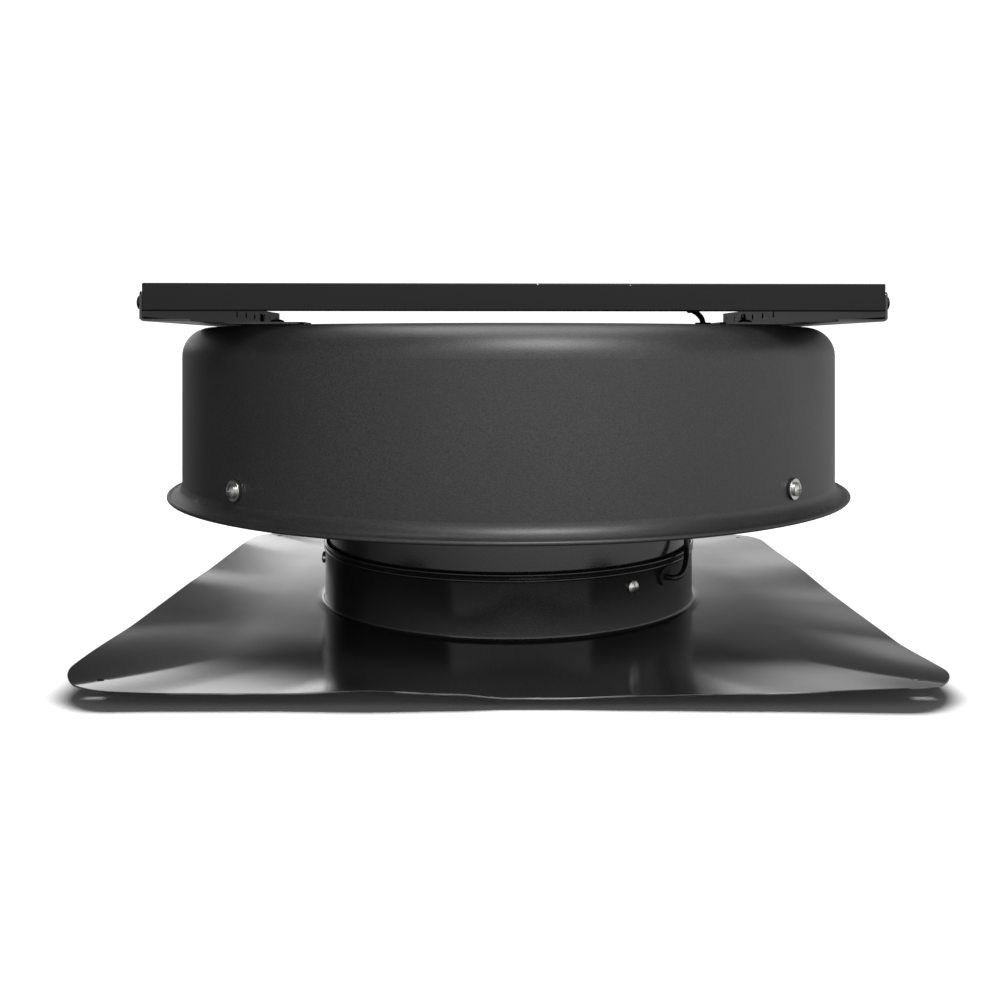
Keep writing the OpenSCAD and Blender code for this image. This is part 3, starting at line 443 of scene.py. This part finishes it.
for name in ("bracket_left", "bracket_right", "stay_left", "stay_right", "panel_rail_front", "panel_rail_rear",
             "panel_rail_left", "panel_rail_right", "foot_pads"):
    ease_edges(name, 0.3 * MM)
for name in ("dome_washers", "foot_washers", "foot_nuts", "pivot_nuts", "stay_nuts", "dome_nuts", "stay_spacers"):
    ease_edges(name, 0.2 * MM)
for name in ("junction_box", "junction_lid"):
    ease_edges(name, 1.0 * MM, 3)
ease_edges("cable_clips", 0.6 * MM)


# ---------------------------------------------------------------- cables

CABLE_R = 2.3 * MM
PANEL_ROUTE = [
    (85.5, 172, 269.4), (86.3, 142, 268.1), (87, 115, 268.8), (88, 85, 269.2), (89.6, 40, 267.4),
    (90.8, 0, 265.6), (92, -50, 263.4), (93.1, -95, 261.2), (96, -130, 258.2), (104, -154, 255),
    (120, -165, 252), (132, -154, 250), (138, -130, 248.5), (142, -104, 249), (146, -90, 249.6),
    (150.5, -77, 249.2), (155.2, -68, 247.4), (159.3, -62.5, 243.9), (161, -60, 239.5), (161, -60, 234.5),
]
MOTOR_ROUTE = [
    (161, -60, 234.5), (161, -60, 222), (159, -65, 200), (154, -71, 175), (150, -74, 150), (147, -78, 125),
    (145, -79, 100), (144.4, -79, 82), (143.9, -80.5, 68), (143.4, -84, 57), (141.6, -92, 49.5),
    (138.5, -100.5, 44.3), (134.4, -107, 41.3), (129.8, -109.6, 40.1), (125.6, -107.3, 40), (121.7, -104, 40),
    (114, -97.4, 40), (102, -87, 42), (90, -77, 47), (76, -65, 54), (62, -53, 58), (48, -41, 60),
    (33.5, -28.6, 60),
]


def add_cables():
    """The two jacketed leads: panel to dome, and dome to motor."""
    panel_path = smooth_path([Vector(p) * MM for p in PANEL_ROUTE], 6)
    lead = add_piece("panel_lead", tube(panel_path, CABLE_R, 16), [JACKET], None, ["panel_cable"])
    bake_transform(lead)
    motor_path = smooth_path([Vector(p) * MM for p in MOTOR_ROUTE], 6)
    add_piece("motor_lead", tube(motor_path, CABLE_R, 16), [JACKET], "root", ["motor_cable"])


add_cables()


# ---------------------------------------------------------------- roof flashing

PLATE_HALF, _, COLLAR_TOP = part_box("roof_flashing")[1]
SHEET = 1.2 * MM
CORNER_R = 43 * MM
COLLAR_R = 160 * MM
FOOT_FILLET = 3 * MM
# The collar's rolled rim, and the bead some way under its top
BEAD_R = 1.3 * MM
BEAD_DROP = 5.6 * MM
# Height of the sheet round the collar, how uneven it is, and how far in from the edge its border reaches
PLATEAU = 3.5 * MM
DENT = 0.4 * MM
DENT_LENGTH = 120 * MM
SWEEP = 85 * MM
NAIL_AT = 260 * MM
NAIL_R = 2.5 * MM
# How far the sheet's edge stands off the roof, by bearing from the front towards +X: degrees, millimetres
EDGE_LIFT = [
    (0, 4), (6, 4), (16, 5.5), (28, 7), (44, 10.5), (62, 2.8), (80, 1.8), (90, 1.5), (110, 3), (125, 1.5),
    (135, 2), (150, 1), (180, 0.3), (210, 1.5), (225, 5.5), (236, 8), (255, 7.5), (270, 8.8), (294, 8.6),
    (309, 11.5), (324, 7), (333, 6.8), (343, 8.5), (353, 6.5), (360, 4),
]


def ease(t):
    """Smooth step from 0 to 1."""
    t = min(max(t, 0.0), 1.0)
    return t * t * (3 - 2 * t)


def edge_lift(x, y):
    """Height of the sheet's edge off the roof at the bearing of a point."""
    bearing = math.degrees(math.atan2(x, -y)) % 360
    for (a, low), (b, high) in zip(EDGE_LIFT, EDGE_LIFT[1:]):
        if a <= bearing <= b:
            return (low + (high - low) * ease((bearing - a) / (b - a))) * MM
    return EDGE_LIFT[0][1] * MM


def sheet_height(x, y):
    """Underside of the formed sheet: low round the collar, with a border that sweeps up or down to a wavy edge."""
    inset = PLATE_HALF - max(abs(x), abs(y))
    wave = noise.noise(Vector((x, y, 0.3)) / DENT_LENGTH) * DENT
    plateau = PLATEAU + wave * ease((math.hypot(x, y) - COLLAR_R) / (60 * MM))
    return plateau + (edge_lift(x, y) - plateau) * max(0.0, 1 - inset / SWEEP) ** 2


def rounded_square(half, radius, count):
    """Points at even steps along a square with rounded corners, and the direction outwards at each."""
    side = 2 * (half - radius)
    arc = TURN / 4 * radius
    points = []
    for i in range(count):
        quarter, along = divmod(4 * (side + arc) * i / count, side + arc)
        if along < side:
            point, out = Vector((half, along - side / 2)), Vector((1, 0))
        else:
            angle = (along - side) / radius
            out = Vector((math.cos(angle), math.sin(angle)))
            point = Vector((half - radius, half - radius)) + radius * out
        spin = Matrix.Rotation(quarter * TURN / 4, 2)
        points.append((spin @ point, spin @ out))
    return points


def arc_points(centre, radius, first, last, count):
    """Points on an arc in the section plane: angles in degrees, counted from outwards towards up."""
    angles = [math.radians(first + (last - first) * i / count) for i in range(count + 1)]
    return [(centre[0] + radius * math.cos(a), centre[1] + radius * math.sin(a)) for a in angles]


def flashing_mesh():
    """The sheet and its collar in one skin: rim, bead, wall, foot, top of the sheet, edge and underside."""
    foot_z = PLATEAU + SHEET
    columns = rounded_square(PLATE_HALF, CORNER_R, 520)
    bead_z = COLLAR_TOP - BEAD_DROP
    wall = (
        arc_points((COLLAR_R - 0.2 * MM, COLLAR_TOP - BEAD_R), BEAD_R, 180, -50, 10)
        + arc_points((COLLAR_R - 0.4 * MM, bead_z), BEAD_R, 62, -62, 6)
        + [(COLLAR_R, bead_z - 2.2 * MM), (COLLAR_R, 0.5 * COLLAR_TOP)]
        + arc_points((COLLAR_R + FOOT_FILLET, foot_z + FOOT_FILLET), FOOT_FILLET, 180, 270, 5)
    )
    inner = COLLAR_R - SHEET
    lining = [(inner, PLATEAU + 0.6 * MM), (inner, 0.5 * COLLAR_TOP)]
    top_r = COLLAR_R + FOOT_FILLET
    edge_inset = 0.35 * MM
    # rows from the collar to the edge, a little closer towards the edge
    steps = 34
    crowding = 0.92
    shares = [(i / steps) ** crowding for i in range(1, steps + 1)]

    def around(radius, z):
        return [Vector((point.normalized().x * radius, point.normalized().y * radius, z)) for point, _ in columns]

    def across(share, inset, rise, from_r):
        row = []
        for point, out in columns:
            start = point.normalized() * from_r
            flat = start + (point - inset * out - start) * share
            row.append(Vector((flat.x, flat.y, sheet_height(flat.x, flat.y) + rise)))
        return row

    rows = [around(r, z) for r, z in wall]
    rows += [across(share, edge_inset, SHEET, top_r) for share in shares]
    rows += [across(1, 0, SHEET - edge_inset, top_r), across(1, 0, edge_inset, top_r)]
    rows += [across(share, edge_inset, 0, inner) for share in reversed(shares)]
    rows += [around(r, z) for r, z in lining]
    mesh = surface(rows, close_rows=True, close_columns=True)
    edge_row = len(wall) + steps
    for face in mesh.polygons:
        if edge_row - 1 <= face.index // len(columns) <= edge_row + 1:
            face.material_index = 1
    return mesh


def add_flashing():
    """The formed flashing with its four nail holes."""
    sheet = add_piece("flashing_sheet", flashing_mesh(), [ENAMEL, COAT_EDGE], "root",
                      ["roof_flashing"])
    work = bmesh.new()
    for x in (-NAIL_AT, NAIL_AT):
        for y in (-NAIL_AT, NAIL_AT):
            bmesh.ops.create_cone(work, cap_ends=True, segments=24, radius1=NAIL_R, radius2=NAIL_R,
                                  depth=60 * MM, matrix=Matrix.Translation((x, y, 0)))
    punches = bpy.data.meshes.new("punches")
    work.to_mesh(punches)
    work.free()
    punches.materials.append(COAT_EDGE)
    punch = bpy.data.objects.new("punches", punches)
    SCENE.collection.objects.link(punch)
    cut = sheet.modifiers.new("nail holes", "BOOLEAN")
    cut.object = punch
    cut.operation = "DIFFERENCE"
    cut.solver = "EXACT"
    cut.material_mode = "TRANSFER"
    bpy.context.view_layer.update()
    punched = bpy.data.meshes.new_from_object(sheet.evaluated_get(bpy.context.evaluated_depsgraph_get()))
    sheet.modifiers.clear()
    sheet.data = punched
    punched.name = "flashing_sheet"
    punched.set_sharp_from_angle(angle=math.radians(38))
    bpy.data.objects.remove(punch)


add_flashing()


# ---------------------------------------------------------------- pest screen

def add_pest_screen():
    """Welded wire mesh between the top of the fan tube and the dome."""
    low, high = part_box("pest_screen")
    radius = high.x - 1.2 * MM
    wire_r = 0.5 * MM
    mesh_size = 9.5 * MM
    uprights = round(TURN * radius / mesh_size)
    rings = round((high.z - low.z) / mesh_size)
    parts = []
    for k in range(uprights):
        angle = TURN * k / uprights
        foot = Vector((radius * math.cos(angle), radius * math.sin(angle), low.z))
        parts.append(tube([foot, foot + Vector((0, 0, high.z - low.z))], wire_r, 6))
    for k in range(rings + 1):
        z = low.z + wire_r + (high.z - low.z - 2 * wire_r) * k / rings
        turns = [TURN * i / 160 for i in range(160)]
        ring_r = radius - 1.6 * wire_r
        parts.append(tube([Vector((ring_r * math.cos(a), ring_r * math.sin(a), z)) for a in turns],
                          wire_r, 6, closed=True))
    add_piece("pest_mesh", joined(parts), [GALVANISED], "root", ["pest_screen"])


add_pest_screen()


# ---------------------------------------------------------------- solar cells

PANEL_W = 502.4 * MM
PANEL_L = 500 * MM
PANEL_FRONT = -9.8 * MM
CELL_MARGIN = 12 * MM
CELL_GAP = 2.5 * MM
CELL_COLUMNS = 4
CELL_ROWS = 9
CELL_LOW = 9.2 * MM
CELL_T = 0.16 * MM
RIBBON_T = 0.1 * MM
RIBBON_W = 1.6 * MM
STRING_L = PANEL_L - 2 * CELL_MARGIN
PITCH_X = (PANEL_W - 2 * CELL_MARGIN) / CELL_COLUMNS
PITCH_Y = (PANEL_L - 2 * CELL_MARGIN) / CELL_ROWS


def rectangle(x, y, width, length, cut=0.0):
    """Outline of a rectangle from its lower corner, with its corners cut off."""
    corners = []
    for sx, sy, swap in ((0, 0, 0), (1, 0, 1), (1, 1, 0), (0, 1, 1)):
        cx, cy = x + sx * width, y + sy * length
        inx, iny = (cut if sx == 0 else -cut), (cut if sy == 0 else -cut)
        pair = [(cx, cy + iny), (cx + inx, cy)]
        corners += (reversed(pair) if swap else pair) if cut else [(cx, cy)]
    return corners


def add_cells():
    """Thirty-six cut cells in strings, with their ribbons, under the glass."""
    cells, ribbons = [], []
    left, front = -PANEL_W / 2 + CELL_MARGIN, PANEL_FRONT + CELL_MARGIN
    cell_w, cell_l = PITCH_X - CELL_GAP, PITCH_Y - CELL_GAP
    top = CELL_LOW + CELL_T
    for i in range(CELL_COLUMNS):
        x = left + i * PITCH_X + CELL_GAP / 2
        for j in range(CELL_ROWS):
            outline = rectangle(x, front + j * PITCH_Y + CELL_GAP / 2, cell_w, cell_l, 3.5 * MM)
            cells.append(slab(outline, CELL_LOW, top))
        for share in (1 / 6, 1 / 2, 5 / 6):
            outline = rectangle(x + share * cell_w - RIBBON_W / 2, front - 3 * MM, RIBBON_W, STRING_L + 6 * MM)
            ribbons.append(slab(outline, top + 0.01 * MM, top + RIBBON_T))
    # strings are joined in pairs at the front, and the other way at the back, where the ends go to the box
    for y, first, last in ((front - 5 * MM, 0, 1), (front - 5 * MM, 2, 3), (front + STRING_L + 1 * MM, 0, 0),
                           (front + STRING_L + 1 * MM, 1, 2), (front + STRING_L + 1 * MM, 3, 3)):
        start = left + first * PITCH_X + 8 * MM
        width = (last - first + 1) * PITCH_X - 16 * MM
        ribbons.append(slab(rectangle(start, y, width, 4 * MM), top + 0.01 * MM, top + RIBBON_T))
    add_piece("cell_strings", joined(cells), [SILICON], "panel", ["solar_cells"], PANEL_FRAME)
    add_piece("cell_ribbons", joined(ribbons), [RIBBON], "panel", (), PANEL_FRAME)


def add_glass_seal():
    """Silicone bead where the glass meets the frame's lip."""
    inset = 7 * MM
    corner = 3 * MM
    outline = rounded_square((PANEL_L - 2 * inset) / 2, corner, 240)
    stretch = (PANEL_W - PANEL_L) / 2
    middle = PANEL_FRONT + PANEL_L / 2
    path = [Vector((p.x + math.copysign(stretch, p.x), p.y + middle, 12.15 * MM)) for p, _ in outline]
    add_piece("glass_seal", tube(path, 0.9 * MM, 8, closed=True), [SILICONE], "panel", (), PANEL_FRAME)


add_cells()
add_glass_seal()


# ---------------------------------------------------------------- stage and light

def add_floor():
    """A plain pale round floor."""
    radius = 1.0
    corners = 64
    rim = [Vector((radius * math.cos(TURN * k / corners), radius * math.sin(TURN * k / corners), 0))
           for k in range(corners)]
    mesh = bpy.data.meshes.new("floor")
    mesh.from_pydata(rim, [], [range(corners)])
    material, tree, shader, place = finish("pale_floor", {"Roughness": 0.9, "Specular IOR Level": 0.1})
    shade = node(tree, "ShaderNodeTexNoise", {"Vector": place, "Scale": 2.0})
    tint = node(tree, "ShaderNodeMix", {0: shade.outputs["Fac"], 6: colour("#c4c4c4"), 7: colour("#cccccc")},
                data_type="RGBA")
    tree.links.new(tint.outputs[2], shader.inputs["Base Color"])
    mesh.materials.append(material)
    floor = bpy.data.objects.new("floor", mesh)
    floor.location.z = -0.2 * MM
    SCENE.collection.objects.link(floor)
    floor.visible_glossy = False
    floor.visible_diffuse = False
    return floor


def add_world():
    """A dim white studio; what the camera sees of it is plain white.

    Soft light stands round the horizon, brightest to the front right. Behind, a low bright band and two dimmer
    flanks show in the flashing's enamel.
    """
    front_right = (0.5, -0.87, 0)
    back_left = (-0.22, 0.975, 0)
    band_height = 0.15
    world = bpy.data.worlds.new("studio")
    world.use_nodes = True
    tree = world.node_tree
    tree.nodes.clear()
    heading = node(tree, "ShaderNodeTexCoord").outputs["Generated"]
    axes = node(tree, "ShaderNodeSeparateXYZ", {0: heading})
    toward = node(tree, "ShaderNodeVectorMath", {0: heading, 1: front_right}, operation="DOT_PRODUCT")
    side = node(tree, "ShaderNodeMapRange", {
        "Value": toward.outputs["Value"], "From Min": -0.7, "From Max": 1.0, "To Min": 0.05, "To Max": 1.7})
    height = node(tree, "ShaderNodeMapRange", {
        "Value": axes.outputs["Z"], "From Min": 0.08, "From Max": 0.34, "To Min": 1.0, "To Max": 0.15})
    under = node(tree, "ShaderNodeMapRange", {
        "Value": axes.outputs["Z"], "From Min": -0.3, "From Max": -0.12, "To Min": 0.25, "To Max": 1.0})
    band = node(tree, "ShaderNodeMath", {0: height.outputs[0], 1: under.outputs[0]}, operation="MULTIPLY")
    round_light = node(tree, "ShaderNodeMath", {0: side.outputs[0], 1: band.outputs[0]}, operation="MULTIPLY")
    away = node(tree, "ShaderNodeVectorMath", {0: heading, 1: back_left}, operation="DOT_PRODUCT")
    behind = node(tree, "ShaderNodeMapRange", {
        "Value": away.outputs["Value"], "From Min": 0.8, "From Max": 0.97, "To Min": 0.0, "To Max": 2.2})
    offset = node(tree, "ShaderNodeMath", {0: axes.outputs["Z"], 1: band_height}, operation="SUBTRACT")
    apart = node(tree, "ShaderNodeMath", {0: offset.outputs[0]}, operation="ABSOLUTE")
    low = node(tree, "ShaderNodeMapRange", {
        "Value": apart.outputs[0], "From Min": 0.045, "From Max": 0.085, "To Min": 1.0, "To Max": 0.03})
    sweep = node(tree, "ShaderNodeMath", {0: behind.outputs[0], 1: low.outputs[0]}, operation="MULTIPLY")
    aside = node(tree, "ShaderNodeMath", {0: axes.outputs["X"]}, operation="ABSOLUTE")
    flank = node(tree, "ShaderNodeMapRange", {
        "Value": aside.outputs[0], "From Min": 0.2, "From Max": 0.4, "To Min": 0.0, "To Max": 0.22})
    rear = node(tree, "ShaderNodeMapRange", {
        "Value": axes.outputs["Y"], "From Min": 0.5, "From Max": 0.8, "To Min": 0.0, "To Max": 1.0})
    flanks = node(tree, "ShaderNodeMath", {0: flank.outputs[0], 1: rear.outputs[0]}, operation="MULTIPLY")
    back = node(tree, "ShaderNodeMath", {0: sweep.outputs[0], 1: flanks.outputs[0]}, operation="ADD")
    level = node(tree, "ShaderNodeMath", {0: back.outputs[0], 1: round_light.outputs[0]}, operation="ADD")
    light = node(tree, "ShaderNodeBackground", {"Color": (1, 1, 1, 1), "Strength": level.outputs[0]})
    seen = node(tree, "ShaderNodeBackground", {"Color": (1, 1, 1, 1), "Strength": 1.2})
    rays = node(tree, "ShaderNodeLightPath")
    mixed = node(tree, "ShaderNodeMixShader", {
        0: rays.outputs["Is Camera Ray"], 1: light.outputs[0], 2: seen.outputs[0]})
    node(tree, "ShaderNodeOutputWorld", {"Surface": mixed.outputs[0]})
    SCENE.world = world


def linked(name, piece, state):
    """A collection for light linking, with one object in it."""
    group = bpy.data.collections.new(name)
    group.objects.link(piece)
    group.collection_objects[0].light_linking.link_state = state
    return group


def aimed(name, data, place, target):
    """A lamp at a place, aimed at a point."""
    light = bpy.data.objects.new(name, data)
    light.location = place
    aim = Vector(target) - Vector(place)
    light.rotation_euler = aim.to_track_quat("-Z", "Y").to_euler()
    SCENE.collection.objects.link(light)
    return light


def area_lamp(name, width, height, power):
    """A rectangular area lamp's data."""
    data = bpy.data.lights.new(name, "AREA")
    data.shape = "RECTANGLE"
    data.size = width
    data.size_y = height
    data.energy = power
    return data


def add_softbox(name, place, target, width, height, power, floor):
    """A soft light on the object alone."""
    light = aimed(name, area_lamp(name, width, height, power), place, target)
    light.light_linking.receiver_collection = linked(name + "_receivers", floor, "EXCLUDE")


def add_floor_light(floor, sheet):
    """Light for the floor alone, wide and from behind: the flashing's edge throws a soft shadow forwards."""
    light = aimed("floor_light", area_lamp("floor_light", 7, 1.6, 1300), (0, 4.6, 3.9), (0, 0, 0))
    light.light_linking.receiver_collection = linked("floor_light_receivers", floor, "INCLUDE")
    light.light_linking.blocker_collection = linked("floor_light_blockers", sheet, "INCLUDE")


FLOOR = add_floor()
add_world()
add_softbox("key_softbox", (0.4, -1.65, 1.9), (0, 0, 0.1), 0.8, 0.8, 50, FLOOR)
add_softbox("front_softbox", (0.3, -2.3, 1.5), (0, 0, 0.1), 4.4, 1.4, 32, FLOOR)
add_softbox("top_softbox", (0.0, 0.4, 2.8), (0, 0, 0), 2.0, 2.0, 60, FLOOR)
add_floor_light(FLOOR, bpy.data.objects["flashing_sheet"])
SCENE.view_settings.view_transform = "Standard"
